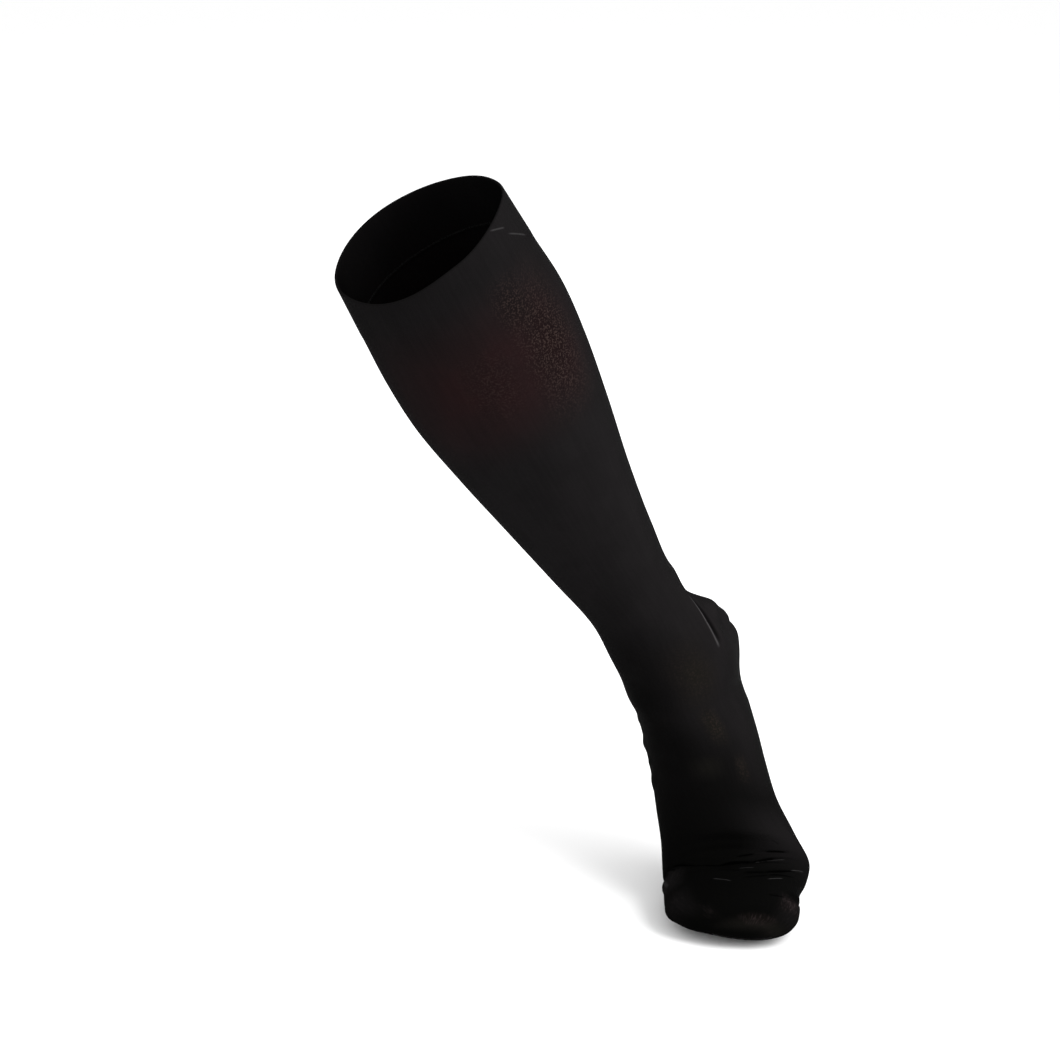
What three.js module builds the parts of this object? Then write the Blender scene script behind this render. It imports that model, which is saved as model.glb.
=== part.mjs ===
// A knee-high compression stocking as it is worn: a thin knitted wall that keeps the form of a leg
// leaning over a raised heel, open at the top band and empty inside. Millimetres, +Z up, the front
// of the leg towards -Y and the inner side of the leg towards +X. The origin is the centre of the
// open top edge, where the wearer's leg holds the stocking up.
import * as THREE from 'three';

// The knitted wall: one layer of cloth, and two in the turned band, which stands a little proud
const WALL = 1.3;
const BAND_WALL = 1.9;
const BAND_PROUD = 0.4;
const BAND_EDGE_ROUND = 0.7;
const SEAM_GAP = 0.46;

// Where the foot stands under the top edge: the ball of the foot touches the ground
const STANDING_HEIGHT = 431;
const BALL_ACROSS = 188;
const BALL_BACK = 17;

// How the foot stands: heel raised, toes bent flat along the ground, heading slightly inwards
const HEEL_RAISE = THREE.MathUtils.degToRad(32);
const FOOT_HEADING = THREE.MathUtils.degToRad(4);
const BEND_STARTS_ALONG = 170;
const BEND_ENDS_ALONG = 198;

// The ankle joint in the foot, where the axis of the shin ends
const ANKLE = { along: 60, height: 80, roll: 17.5 };

// Sections square to the shin. drop runs down the shin from the top edge. front, back, inner and
// outer are the distances from the axis of the shin to the cloth.
const SHIN_SECTIONS = [
  { drop: 0, front: 57, back: 59, inner: 55.8, outer: 56.3 },
  { drop: 38, front: 55, back: 63, inner: 57.2, outer: 59.2 },
  { drop: 70, front: 53.5, back: 67, inner: 58.7, outer: 61.4 },
  { drop: 105, front: 51.5, back: 68, inner: 55.5, outer: 61.2 },
  { drop: 150, front: 48, back: 62, inner: 48.2, outer: 55.4 },
  { drop: 200, front: 43, back: 53, inner: 38.8, outer: 47.2 },
  { drop: 245, front: 39, back: 46, inner: 32.3, outer: 39.7 },
  { drop: 285, front: 38, back: 43, inner: 29, outer: 33 },
];

// Sections of the foot, measured as it would stand flat. Each one runs from a point on the instep
// to a point on the sole or the back of the heel, each given by how far along the foot it lies and
// how high above the sole. swing moves the sole end towards the inner side. inner and outer are the
// half widths, widest is how far up from the sole they lie, as a share, roll is the tilt in degrees
// towards the outer side, and slant sets the outer side of the toes back.
const FOOT_SECTIONS = [
  { instep: [89, 122], sole: [14, 96], swing: 5, inner: 36.5, outer: 36, widest: 0.5, roll: 20.5, slant: 0 },
  { instep: [96, 106], sole: [9, 64], swing: 6, inner: 37, outer: 38, widest: 0.5, roll: 19, slant: 0 },
  { instep: [103, 94], sole: [7, 36], swing: 5, inner: 34.2, outer: 39, widest: 0.5, roll: 18, slant: 0 },
  { instep: [108, 87], sole: [12, 13], swing: 3, inner: 31.6, outer: 37.5, widest: 0.48, roll: 17, slant: 0 },
  { instep: [114, 81], sole: [32, 0], swing: 1, inner: 34.2, outer: 36.5, widest: 0.46, roll: 16, slant: 0 },
  { instep: [122, 75], sole: [60, 1], swing: 0, inner: 36.4, outer: 36.2, widest: 0.44, roll: 14, slant: 0 },
  { instep: [134, 68], sole: [92, 6], swing: 0, inner: 37.2, outer: 36.4, widest: 0.42, roll: 11, slant: 0 },
  { instep: [150, 60], sole: [122, 8], swing: 0, inner: 38.8, outer: 38, widest: 0.4, roll: 7, slant: 0 },
  { instep: [168, 51], sole: [150, 5], swing: 0, inner: 46.2, outer: 38.8, widest: 0.4, roll: 3, slant: 0 },
  { instep: [184, 43], sole: [174, 1], swing: 0, inner: 52.6, outer: 40.5, widest: 0.42, roll: 0, slant: 0 },
  { instep: [198, 36], sole: [194, 1], swing: 0, inner: 49.5, outer: 41, widest: 0.44, roll: 0, slant: 0.03 },
  { instep: [214, 30], sole: [213, 2], swing: 0, inner: 42, outer: 42.5, widest: 0.46, roll: 0, slant: 0.06 },
  { instep: [232, 26], sole: [232, 1], swing: 0, inner: 39, outer: 42.8, widest: 0.48, roll: 0, slant: 0.1 },
  { instep: [246, 23], sole: [246, 3], swing: 0, inner: 34.6, outer: 38.2, widest: 0.5, roll: 0, slant: 0.14 },
  { instep: [255, 19], sole: [255, 6], swing: 0, inner: 27.5, outer: 30, widest: 0.5, roll: 0, slant: 0.17 },
  { instep: [260, 15], sole: [260, 9], swing: 0, inner: 17, outer: 19, widest: 0.5, roll: 0, slant: 0.2 },
];

// How square the sections are: 2 is an ellipse, and more is squarer
const FRONT_POWER = 2.0;
const BACK_POWER = 2.1;
const SOLE_POWER = 2.5;

// The knitted stretches, one after the other down the stocking. Each step names the number of the
// section where it ends, with shares of the next one, and how many rings of points lead there.
const STRETCHES = [
  { name: 'top_band', color: 0x1a1718, steps: [{ ends: 1, rings: 4 }] },
  { name: 'leg', color: 0x1c1818, steps: [{ ends: 6.4, rings: 13 }, { ends: 7.2, rings: 4 }] },
  { name: 'heel', color: 0x202020, steps: [{ ends: 8.8, rings: 8 }, { ends: 12, rings: 9 }] },
  {
    name: 'foot',
    color: 0x181818,
    steps: [{ ends: 14.2, rings: 5 }, { ends: 15.9, rings: 6 }, { ends: 17.2, rings: 5 }],
  },
  {
    name: 'toe',
    color: 0x151414,
    steps: [{ ends: 19.3, rings: 15 }, { ends: 21, rings: 5 }, { ends: 23, rings: 5 }],
  },
];
const POINTS_ROUND = 48;
const TOE_TIP_ROUND = 2.5;

// Folds of the cloth. at is the section number at the middle of the fold, turn is its place round
// the stocking as a share of a full turn, from the middle of the back past the inner side. long is
// its length round the stocking, broad its breadth down it, slope how far it sinks for each
// millimetre round, and depth is negative in a trough and positive on a ridge.
const FOLDS = [
  { at: 18.3, turn: 0.61, long: 68, broad: 9, slope: -0.3, depth: -1.5 },
  { at: 18.2, turn: 0.42, long: 56, broad: 9, slope: 0.33, depth: -1.6 },
  { at: 17.75, turn: 0.42, long: 40, broad: 8, slope: 0.33, depth: -0.9 },
  { at: 18.7, turn: 0.39, long: 42, broad: 8, slope: 0.33, depth: -1.2 },
  { at: 18.0, turn: 0.52, long: 76, broad: 8, slope: 0, depth: 0.4 },
  { at: 18.95, turn: 0.55, long: 60, broad: 9, slope: -0.1, depth: 0.5 },
  { at: 18.5, turn: 0.74, long: 26, broad: 11, slope: 0, depth: 1.3 },
  { at: 17.3, turn: 0.55, long: 64, broad: 11, slope: -0.1, depth: 0.3 },
  { at: 20.1, turn: 0.762, long: 18, broad: 16, slope: 0, depth: 1 },
  { at: 22.05, turn: 0.06, long: 64, broad: 26, slope: 0, depth: 2 },
  { at: 19.7, turn: 0.27, long: 24, broad: 9, slope: 0.15, depth: -1.8 },
  { at: 17.8, turn: 0.77, long: 24, broad: 9, slope: -0.1, depth: -1.5 },
  { at: 15.6, turn: 0.02, long: 62, broad: 13, slope: 0.06, depth: -1.2 },
  { at: 16.9, turn: 0.95, long: 54, broad: 10, slope: -0.08, depth: -1 },
  { at: 14.6, turn: 0.06, long: 44, broad: 14, slope: 0.1, depth: 1 },
  { at: 7.72, turn: 0.155, long: 58, broad: 46, slope: 0, depth: -5.2 },
  { at: 8.2, turn: 0.14, long: 34, broad: 62, slope: 0, depth: -4.5 },
  { at: 8.2, turn: 0.86, long: 34, broad: 62, slope: 0, depth: -3.5 },
  { at: 8.1, turn: 0.24, long: 24, broad: 66, slope: 0, depth: -1.8 },
  { at: 7.95, turn: 0.315, long: 28, broad: 64, slope: 0, depth: 1.4 },
  { at: 9.4, turn: 0.155, long: 46, broad: 52, slope: 0, depth: 2 },
  { at: 11.35, turn: 0.15, long: 36, broad: 18, slope: 0, depth: -1.8 },
  { at: 7.2, turn: 0.02, long: 48, broad: 16, slope: 0.05, depth: -1.3 },
  { at: 6.7, turn: 0.97, long: 40, broad: 15, slope: -0.06, depth: -1 },
  { at: 12.6, turn: 0.72, long: 36, broad: 16, slope: 0.2, depth: 1.2 },
  { at: 14.1, turn: 0.73, long: 30, broad: 16, slope: 0.2, depth: 1 },
];

// The top edge isn't level all round. rise is how far it stands above its section, at a turn and
// over a length round the edge. The waves fade out down to the lower end of the band.
const EDGE_WAVES = [
  { turn: 0.325, long: 100, rise: 4.4 },
  { turn: 0.58, long: 90, rise: -4 },
  { turn: 0.95, long: 110, rise: 2 },
];

const heading = new THREE.Vector3(Math.sin(FOOT_HEADING), -Math.cos(FOOT_HEADING), 0);
const innerSide = new THREE.Vector3(Math.cos(FOOT_HEADING), Math.sin(FOOT_HEADING), 0);
const upright = new THREE.Vector3(0, 0, 1);

// The line down the middle of the sole: straight from the heel, bent round the ball, then flat.
function soleLine(along) {
  const bendRadius = (BEND_ENDS_ALONG - BEND_STARTS_ALONG) / HEEL_RAISE;
  const beyondBend = Math.max(0, BEND_STARTS_ALONG - along);
  const turned = THREE.MathUtils.clamp((BEND_ENDS_ALONG - along) / bendRadius, 0, HEEL_RAISE);
  const forward = Math.max(0, along - BEND_ENDS_ALONG)
    - bendRadius * Math.sin(turned) - beyondBend * Math.cos(HEEL_RAISE);
  const rise = bendRadius * (1 - Math.cos(turned)) + beyondBend * Math.sin(HEEL_RAISE);
  const point = new THREE.Vector3(BALL_ACROSS, BALL_BACK, -STANDING_HEIGHT)
    .addScaledVector(heading, forward)
    .addScaledVector(upright, rise);
  const up = upright.clone().multiplyScalar(Math.cos(turned))
    .addScaledVector(heading, Math.sin(turned));
  return { point, up };
}

// A point of the foot in the part's frame.
function inFoot(along, height, side, rollDegrees) {
  const roll = THREE.MathUtils.degToRad(rollDegrees);
  const { point, up } = soleLine(along);
  return point
    .addScaledVector(up, height * Math.cos(roll) + side * Math.sin(roll))
    .addScaledVector(innerSide, side * Math.cos(roll) - height * Math.sin(roll));
}

const ankle = inFoot(ANKLE.along, ANKLE.height, 0, ANKLE.roll);
const shinDown = ankle.clone().normalize();
const shinFront = heading.clone().projectOnPlane(shinDown).normalize();
const shinInner = shinFront.clone().cross(shinDown);

// One step round a section: side and rise are shares, from -1 to 1, of its half widths and depths.
function roundSection(turn, frontPower, backPower) {
  const angle = turn * 2 * Math.PI - Math.PI / 2;
  const power = Math.sin(angle) > 0 ? frontPower : backPower;
  const share = (value) => Math.sign(value) * Math.abs(value) ** (2 / power);
  return { side: share(Math.cos(angle)), rise: share(Math.sin(angle)) };
}

// The loop of a section, with its points evenly spaced from the middle of the back round the inner
// side, so that the columns of stitches run straight down the leg.
function evenLoop(pointAt) {
  const fine = new THREE.CurvePath();
  const count = 8 * POINTS_ROUND;
  let last = pointAt(0);
  for (let i = 1; i <= count; i++) {
    const next = pointAt(i / count);
    fine.add(new THREE.LineCurve3(last, next));
    last = next;
  }
  return Array.from({ length: POINTS_ROUND }, (_, j) => fine.getPointAt(j / POINTS_ROUND));
}

function shinLoop(section) {
  const centre = shinDown.clone().multiplyScalar(section.drop);
  return evenLoop((turn) => {
    const { side, rise } = roundSection(turn, FRONT_POWER, BACK_POWER);
    return centre.clone()
      .addScaledVector(shinInner, side * (side > 0 ? section.inner : section.outer))
      .addScaledVector(shinFront, rise * (rise > 0 ? section.front : section.back));
  });
}

function footLoop(section) {
  const [instepAlong, instepHeight] = section.instep;
  const [soleAlong, soleHeight] = section.sole;
  const between = (share) => [
    soleAlong + share * (instepAlong - soleAlong),
    soleHeight + share * (instepHeight - soleHeight),
  ];
  return evenLoop((turn) => {
    const { side, rise } = roundSection(turn, FRONT_POWER, SOLE_POWER);
    const share = section.widest + rise * (rise > 0 ? 1 - section.widest : section.widest);
    const [along, height] = between(share);
    const across = side * (side > 0 ? section.inner : section.outer) + section.swing * (1 - share);
    return inFoot(along + section.slant * across, height, across, section.roll);
  });
}

// The loops in order, and how far down the stocking each one lies on average.
const loops = [...SHIN_SECTIONS.map(shinLoop), ...FOOT_SECTIONS.map(footLoop)];
const ways = [0];
for (let i = 1; i < loops.length; i++) {
  const steps = loops[i].map((point, j) => point.distanceTo(loops[i - 1][j]));
  ways.push(ways[i - 1] + steps.reduce((sum, step) => sum + step, 0) / POINTS_ROUND);
}
const totalWay = ways.at(-1);

// The way at a section number with a share, such as 7.2.
function wayAt(sectionNumber) {
  const before = Math.min(Math.floor(sectionNumber), ways.length - 2);
  return THREE.MathUtils.lerp(ways[before], ways[before + 1], sectionNumber - before);
}

// The smooth form through all the loops, before it is folded.
const values = loops.flat().flatMap((point) => point.toArray());
const form = new THREE.CubicInterpolant(ways, values, POINTS_ROUND * 3, new Float64Array(POINTS_ROUND * 3));

function smoothLoop(way) {
  const found = form.evaluate(THREE.MathUtils.clamp(way, 0, totalWay));
  return Array.from({ length: POINTS_ROUND }, (_, j) => new THREE.Vector3().fromArray(found, 3 * j));
}

// The directions of the cloth at each point of a ring: out of the stocking, and down along it.
function clothDirections(way) {
  const reach = 1.5;
  const here = smoothLoop(way);
  const above = smoothLoop(way - reach);
  const below = smoothLoop(way + reach);
  return here.map((_, j) => {
    const round = here[(j + 1) % POINTS_ROUND].clone().sub(here.at(j - 1));
    const down = below[j].clone().sub(above[j]).normalize();
    return { out: round.clone().cross(down).normalize(), down };
  });
}

// A soft hump, 1 in the middle and 0 from one half of its breadth away.
function hump(distance, breadth) {
  const share = Math.min(1, Math.abs(distance) / (breadth / 2));
  return (1 - share * share) ** 2;
}

// How far the folds move the cloth out at a place on the stocking.
function foldRelief(way, turn, girth) {
  let relief = 0;
  for (const fold of FOLDS) {
    const apart = turn - fold.turn;
    const round = (apart - Math.round(apart)) * girth;
    const down = way - wayAt(fold.at) - fold.slope * round;
    relief += fold.depth * hump(round, fold.long) * hump(down, fold.broad);
  }
  return relief;
}

// How far the waves of the top edge lift the cloth at a place in the band.
function edgeLift(way, turn, girth) {
  const fade = Math.max(0, 1 - way / wayAt(1));
  let lift = 0;
  for (const wave of EDGE_WAVES) {
    const apart = turn - wave.turn;
    lift += wave.rise * hump((apart - Math.round(apart)) * girth, wave.long);
  }
  return fade * lift;
}

function girthOf(loop) {
  return loop.reduce((sum, point, j) => sum + point.distanceTo(loop.at(j - 1)), 0);
}

// One ring of the cloth, moved out from the smooth form by a distance as well as by its folds.
// nudge moves it down along the cloth.
function clothRing(way, out, nudge = 0) {
  const loop = smoothLoop(way);
  const girth = girthOf(loop);
  const directions = clothDirections(way);
  return loop.map((point, j) => {
    const turn = j / POINTS_ROUND;
    const relief = foldRelief(way, turn, girth);
    return point.addScaledVector(directions[j].out, out + relief)
      .addScaledVector(directions[j].down, nudge - edgeLift(way, turn, girth));
  });
}

// The ways of the rings of a stretch that starts at a section number.
function ringWays(starts, steps) {
  const found = [wayAt(starts)];
  for (const { ends, rings } of steps) {
    const from = found.at(-1);
    for (let i = 1; i <= rings; i++) found.push(THREE.MathUtils.lerp(from, wayAt(ends), i / rings));
  }
  return found;
}

// The rings of one wall of a stretch, with its first and last ones nudged in to part it from the
// next stretch.
function wall(downWays, out, upperNudge, lowerNudge) {
  return downWays.map((way, i) => {
    const nudge = i === 0 ? upperNudge : i === downWays.length - 1 ? -lowerNudge : 0;
    return clothRing(way, out, nudge);
  });
}

// Joins rings of points into one closed skin. The rings run down the outside and up the inside,
// and the last one is joined to the first. A ring with a single point is a tip.
function skin(rings) {
  const positions = [];
  const numbers = rings.map((ring) => {
    const first = positions.length / 3;
    positions.push(...ring.flatMap((point) => point.toArray()));
    return (j) => first + (ring.length > 1 ? j % POINTS_ROUND : 0);
  });
  const index = [];
  rings.forEach((ring, i) => {
    const k = (i + 1) % rings.length;
    for (let j = 0; j < POINTS_ROUND; j++) {
      if (ring.length > 1) index.push(numbers[i](j), numbers[i](j + 1), numbers[k](j));
      if (rings[k].length > 1) index.push(numbers[i](j + 1), numbers[k](j + 1), numbers[k](j));
    }
  });
  const geometry = new THREE.BufferGeometry();
  geometry.setAttribute('position', new THREE.Float32BufferAttribute(positions, 3));
  geometry.setIndex(index);
  geometry.computeVertexNormals();
  return geometry;
}

// The band is turned over at the top, so its edge is round.
function bandGeometry(downWays) {
  const outside = wall(downWays, BAND_PROUD, BAND_EDGE_ROUND, SEAM_GAP / 2);
  const inside = wall(downWays, BAND_PROUD - BAND_WALL, BAND_EDGE_ROUND, SEAM_GAP / 2).reverse();
  const edge = clothRing(0, BAND_PROUD - BAND_WALL / 2);
  return skin([edge, ...outside, ...inside]);
}

function tubeGeometry(downWays) {
  const outside = wall(downWays, 0, SEAM_GAP / 2, SEAM_GAP / 2);
  const inside = wall(downWays, -WALL, SEAM_GAP / 2, SEAM_GAP / 2).reverse();
  return skin([...outside, ...inside]);
}

// The toe is knitted shut: the outside and the inside both end in a tip.
function toeGeometry(downWays) {
  const outside = wall(downWays, 0, SEAM_GAP / 2, 0);
  const inside = wall(downWays, -WALL, SEAM_GAP / 2, 0).slice(0, -1).reverse();
  const last = outside.at(-1);
  const middle = last.reduce((sum, point) => sum.add(point), new THREE.Vector3()).divideScalar(last.length);
  const tip = middle.clone().addScaledVector(heading, TOE_TIP_ROUND);
  const innerTip = tip.clone().addScaledVector(heading, -2 * WALL);
  return skin([...outside, [tip], [innerTip], ...inside]);
}

const makers = { top_band: bandGeometry, toe: toeGeometry };
const stocking = new THREE.Group();
let starts = 0;
for (const { name, color, steps } of STRETCHES) {
  const make = makers[name] ?? tubeGeometry;
  const knit = new THREE.MeshStandardMaterial({ color, roughness: 0.85, metalness: 0 });
  const mesh = new THREE.Mesh(make(ringWays(starts, steps)), knit);
  mesh.name = name;
  stocking.add(mesh);
  starts = steps.at(-1).ends;
}

export default stocking;
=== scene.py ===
# %% [markdown]
# # A worn knee-high compression stocking
# The stocking is one fine knitted tube: a turned band at the top, a leg, a heel, a foot and a closed toe.
# It has no form of its own when it lies flat. Here it keeps the form of the leg that fills it in the photo.
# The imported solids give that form, and this script puts the real cloth on it: thin, creased and knitted.

# %% Load the fixed frame
import math

import bpy
import numpy as np
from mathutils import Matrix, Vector


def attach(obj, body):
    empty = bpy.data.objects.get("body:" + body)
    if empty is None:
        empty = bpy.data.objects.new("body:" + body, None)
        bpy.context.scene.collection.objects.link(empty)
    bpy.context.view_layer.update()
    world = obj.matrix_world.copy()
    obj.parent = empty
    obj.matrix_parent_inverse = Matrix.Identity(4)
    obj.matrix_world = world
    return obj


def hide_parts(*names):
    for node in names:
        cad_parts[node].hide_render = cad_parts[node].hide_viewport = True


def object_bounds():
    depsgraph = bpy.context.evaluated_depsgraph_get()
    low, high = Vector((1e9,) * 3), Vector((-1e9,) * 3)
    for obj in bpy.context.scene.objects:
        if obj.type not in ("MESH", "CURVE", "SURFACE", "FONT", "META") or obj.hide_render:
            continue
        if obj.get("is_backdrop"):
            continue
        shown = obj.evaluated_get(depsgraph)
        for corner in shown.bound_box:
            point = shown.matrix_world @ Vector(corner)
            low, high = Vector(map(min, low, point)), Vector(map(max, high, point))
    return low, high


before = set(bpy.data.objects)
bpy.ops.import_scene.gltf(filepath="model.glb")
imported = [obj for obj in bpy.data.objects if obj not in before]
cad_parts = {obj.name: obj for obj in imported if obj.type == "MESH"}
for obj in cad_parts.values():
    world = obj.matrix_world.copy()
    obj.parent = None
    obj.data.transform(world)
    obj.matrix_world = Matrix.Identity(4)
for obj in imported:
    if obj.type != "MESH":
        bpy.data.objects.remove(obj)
SIZE = {"frame": [list(corner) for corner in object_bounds()]}
print("solids:", sorted(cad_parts))

# %% [markdown]
# ## Sizes
# The sizes in the tables are millimetres, and become metres when the points are made. Only the links of
# thread, the lights and the camera are given in metres.
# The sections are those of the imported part, so the cloth lies on the same form as its solids.
# A shin section gives the distances from the axis of the shin to the cloth. A foot section runs from a
# point on the instep to a point on the sole, each given by how far along the foot and how high it lies.

# %% Table of sections
MM = 0.001
SHIN_SECTIONS = (  # drop, front, back, inner, outer
    (0, 57, 59, 55.8, 56.3),
    (38, 55, 63, 57.2, 59.2),
    (70, 53.5, 67, 58.7, 61.4),
    (105, 51.5, 68, 55.5, 61.2),
    (150, 48, 62, 48.2, 55.4),
    (200, 43, 53, 38.8, 47.2),
    (245, 39, 46, 32.3, 39.7),
    (285, 38, 43, 29, 33),
)
FOOT_SECTIONS = (  # instep, sole, swing, inner, outer, widest, roll, slant
    ((89, 122), (14, 96), 5, 36.5, 36, 0.5, 20.5, 0),
    ((96, 106), (9, 64), 6, 37, 38, 0.5, 19, 0),
    ((103, 94), (7, 36), 5, 34.2, 39, 0.5, 18, 0),
    ((108, 87), (12, 13), 3, 31.6, 37.5, 0.48, 17, 0),
    ((114, 81), (32, 0), 1, 34.2, 36.5, 0.46, 16, 0),
    ((122, 75), (60, 1), 0, 36.4, 36.2, 0.44, 14, 0),
    ((134, 68), (92, 6), 0, 37.2, 36.4, 0.42, 11, 0),
    ((150, 60), (122, 8), 0, 38.8, 38, 0.4, 7, 0),
    ((168, 51), (150, 5), 0, 46.2, 38.8, 0.4, 3, 0),
    ((184, 43), (174, 1), 0, 52.6, 40.5, 0.42, 0, 0),
    ((198, 36), (194, 1), 0, 49.5, 41, 0.44, 0, 0.03),
    ((214, 30), (213, 2), 0, 42, 42.5, 0.46, 0, 0.06),
    ((232, 26), (232, 1), 0, 39, 42.8, 0.48, 0, 0.1),
    ((246, 23), (246, 3), 0, 34.6, 38.2, 0.5, 0, 0.14),
    ((255, 19), (255, 6), 0, 27.5, 30, 0.5, 0, 0.17),
    ((260, 15), (260, 9), 0, 17, 19, 0.5, 0, 0.2),
)
FRONT_POWER, BACK_POWER, SOLE_POWER = 2.0, 2.1, 2.5
STANDING_HEIGHT, BALL_ACROSS, BALL_BACK = 431, 188, 17
HEEL_RAISE, FOOT_HEADING = math.radians(32), math.radians(4)
BEND_STARTS, BEND_ENDS = 170, 198
ANKLE_ALONG, ANKLE_HEIGHT, ANKLE_ROLL = 60, 80, 17.5
print("sections:", len(SHIN_SECTIONS) + len(FOOT_SECTIONS))

# %% [markdown]
# ## The line of the foot
# The heel is raised and the toes lie flat, so the sole is a straight line from the heel, an arc round
# the ball of the foot and a flat end. Every point of the foot is measured from this line.

# %% Sole line and directions
HEADING = np.array([math.sin(FOOT_HEADING), -math.cos(FOOT_HEADING), 0.0])
INNER_SIDE = np.array([math.cos(FOOT_HEADING), math.sin(FOOT_HEADING), 0.0])
UPRIGHT = np.array([0.0, 0.0, 1.0])


def sole_line(along):
    radius = (BEND_ENDS - BEND_STARTS) / HEEL_RAISE
    beyond = np.maximum(0, BEND_STARTS - along)
    turned = np.clip((BEND_ENDS - along) / radius, 0, HEEL_RAISE)
    forward = np.maximum(0, along - BEND_ENDS) - radius * np.sin(turned) - beyond * math.cos(HEEL_RAISE)
    rise = radius * (1 - np.cos(turned)) + beyond * math.sin(HEEL_RAISE)
    ball = np.array([BALL_ACROSS, BALL_BACK, -STANDING_HEIGHT])
    point = ball + forward[:, None] * HEADING + rise[:, None] * UPRIGHT
    up = np.cos(turned)[:, None] * UPRIGHT + np.sin(turned)[:, None] * HEADING
    return point, up


def in_foot(along, height, side, roll_degrees):
    roll = math.radians(roll_degrees)
    point, up = sole_line(along)
    lift = height * math.cos(roll) + side * math.sin(roll)
    across = side * math.cos(roll) - height * math.sin(roll)
    return point + lift[:, None] * up + across[:, None] * INNER_SIDE


ankle = in_foot(np.array([ANKLE_ALONG]), np.array([ANKLE_HEIGHT]), np.array([0.0]), ANKLE_ROLL)[0]
SHIN_DOWN = ankle / np.linalg.norm(ankle)
SHIN_FRONT = HEADING - HEADING.dot(SHIN_DOWN) * SHIN_DOWN
SHIN_FRONT /= np.linalg.norm(SHIN_FRONT)
SHIN_INNER = np.cross(SHIN_FRONT, SHIN_DOWN)
print("the shin leans along", SHIN_DOWN.round(3))

# %% [markdown]
# ## Rings of the knit
# A circular knitting machine makes the tube course by course. Each ring here stands for some courses.
# Its points are evenly spaced round it, because each course has the same number of stitches, called wales.
# Turn 0 is the middle of the back or sole, and the turn grows past the inner side of the leg to the front.

# %% Loops of the sections
FINE_POINTS = 1920  # of a loop, before its points are spaced evenly
FEW_COLUMNS = 48  # enough to measure the way down
FINE = np.arange(FINE_POINTS) / FINE_POINTS


def round_section(front_power, back_power):
    angle = FINE * 2 * math.pi - math.pi / 2
    power = np.where(np.sin(angle) > 0, front_power, back_power)

    def share(value):
        return np.sign(value) * np.abs(value) ** (2 / power)

    return share(np.cos(angle)), share(np.sin(angle))


def even_loop(points, columns):
    closed = np.vstack([points, points[:1]])
    run = np.concatenate([[0], np.cumsum(np.linalg.norm(np.diff(closed, axis=0), axis=1))])
    wanted = np.arange(columns) / columns * run[-1]
    return np.stack([np.interp(wanted, run, closed[:, k]) for k in range(3)], axis=1)


def shin_loop(row, columns):
    drop, front, back, inner, outer = row
    side, rise = round_section(FRONT_POWER, BACK_POWER)
    across = side * np.where(side > 0, inner, outer)
    forward = rise * np.where(rise > 0, front, back)
    return even_loop(drop * SHIN_DOWN + across[:, None] * SHIN_INNER + forward[:, None] * SHIN_FRONT, columns)


def foot_loop(row, columns):
    instep, sole, swing, inner, outer, widest, roll, slant = row
    side, rise = round_section(FRONT_POWER, SOLE_POWER)
    share = widest + rise * np.where(rise > 0, 1 - widest, widest)
    along = sole[0] + share * (instep[0] - sole[0])
    height = sole[1] + share * (instep[1] - sole[1])
    across = side * np.where(side > 0, inner, outer) + swing * (1 - share)
    return even_loop(in_foot(along + slant * across, height, across, roll), columns)


def all_loops(columns):
    shin = [shin_loop(row, columns) for row in SHIN_SECTIONS]
    return np.array(shin + [foot_loop(row, columns) for row in FOOT_SECTIONS])


few = all_loops(FEW_COLUMNS)
WAYS = np.concatenate([[0], np.cumsum(np.linalg.norm(np.diff(few, axis=0), axis=2).mean(axis=1))])
print("way down the stocking, mm:", WAYS.round(0))

# %% [markdown]
# ## The smooth form
# A cubic runs through all the sections, column by column. It has the same slopes as the part's own
# curve, so before it is creased the cloth agrees with the solids to some hundredths of a millimetre.

# %% Smooth rings between the sections
COLUMNS = 240
BAND_COLUMNS = 2 * COLUMNS
LOOPS = {columns: all_loops(columns) for columns in (COLUMNS, BAND_COLUMNS)}
LAST_WAY = WAYS[-1]
PROBE = 1.5  # mm up and down the tube, to find which way it runs
GIRTH_ROWS = 120


def way_at(section):
    return float(np.interp(section, np.arange(len(WAYS)), WAYS))


def smooth_rings(ways, columns):
    loops = LOOPS[columns]
    ways = np.clip(np.asarray(ways, float), 0, LAST_WAY)
    k = np.clip(np.searchsorted(WAYS, ways, side="right") - 1, 0, len(WAYS) - 2)
    slopes = np.diff(loops, axis=0) / np.diff(WAYS)[:, None, None]
    tangents = np.concatenate([slopes[:1], (slopes[1:] + slopes[:-1]) / 2, slopes[-1:]])
    gap = (WAYS[k + 1] - WAYS[k])[:, None, None]
    p = (ways - WAYS[k])[:, None, None] / gap
    start = (2 * p**3 - 3 * p**2 + 1) * loops[k] + (p**3 - 2 * p**2 + p) * gap * tangents[k]
    end = (3 * p**2 - 2 * p**3) * loops[k + 1] + (p**3 - p**2) * gap * tangents[k + 1]
    return start + end


def cloth_directions(ways, columns):
    here = smooth_rings(ways, columns)
    down = smooth_rings(np.add(ways, PROBE), columns) - smooth_rings(np.subtract(ways, PROBE), columns)
    out = np.cross(np.roll(here, -1, axis=1) - np.roll(here, 1, axis=1), down)
    return (v / np.linalg.norm(v, axis=2, keepdims=True) for v in (out, down))


def girths(rings):
    return np.linalg.norm(np.roll(rings, -1, axis=1) - rings, axis=2).sum(axis=1)


GIRTH_WAYS = np.linspace(0, LAST_WAY, GIRTH_ROWS)
GIRTHS = girths(smooth_rings(GIRTH_WAYS, COLUMNS))
print("girth from band to toe, mm:", GIRTHS[::12].round(0))

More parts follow.
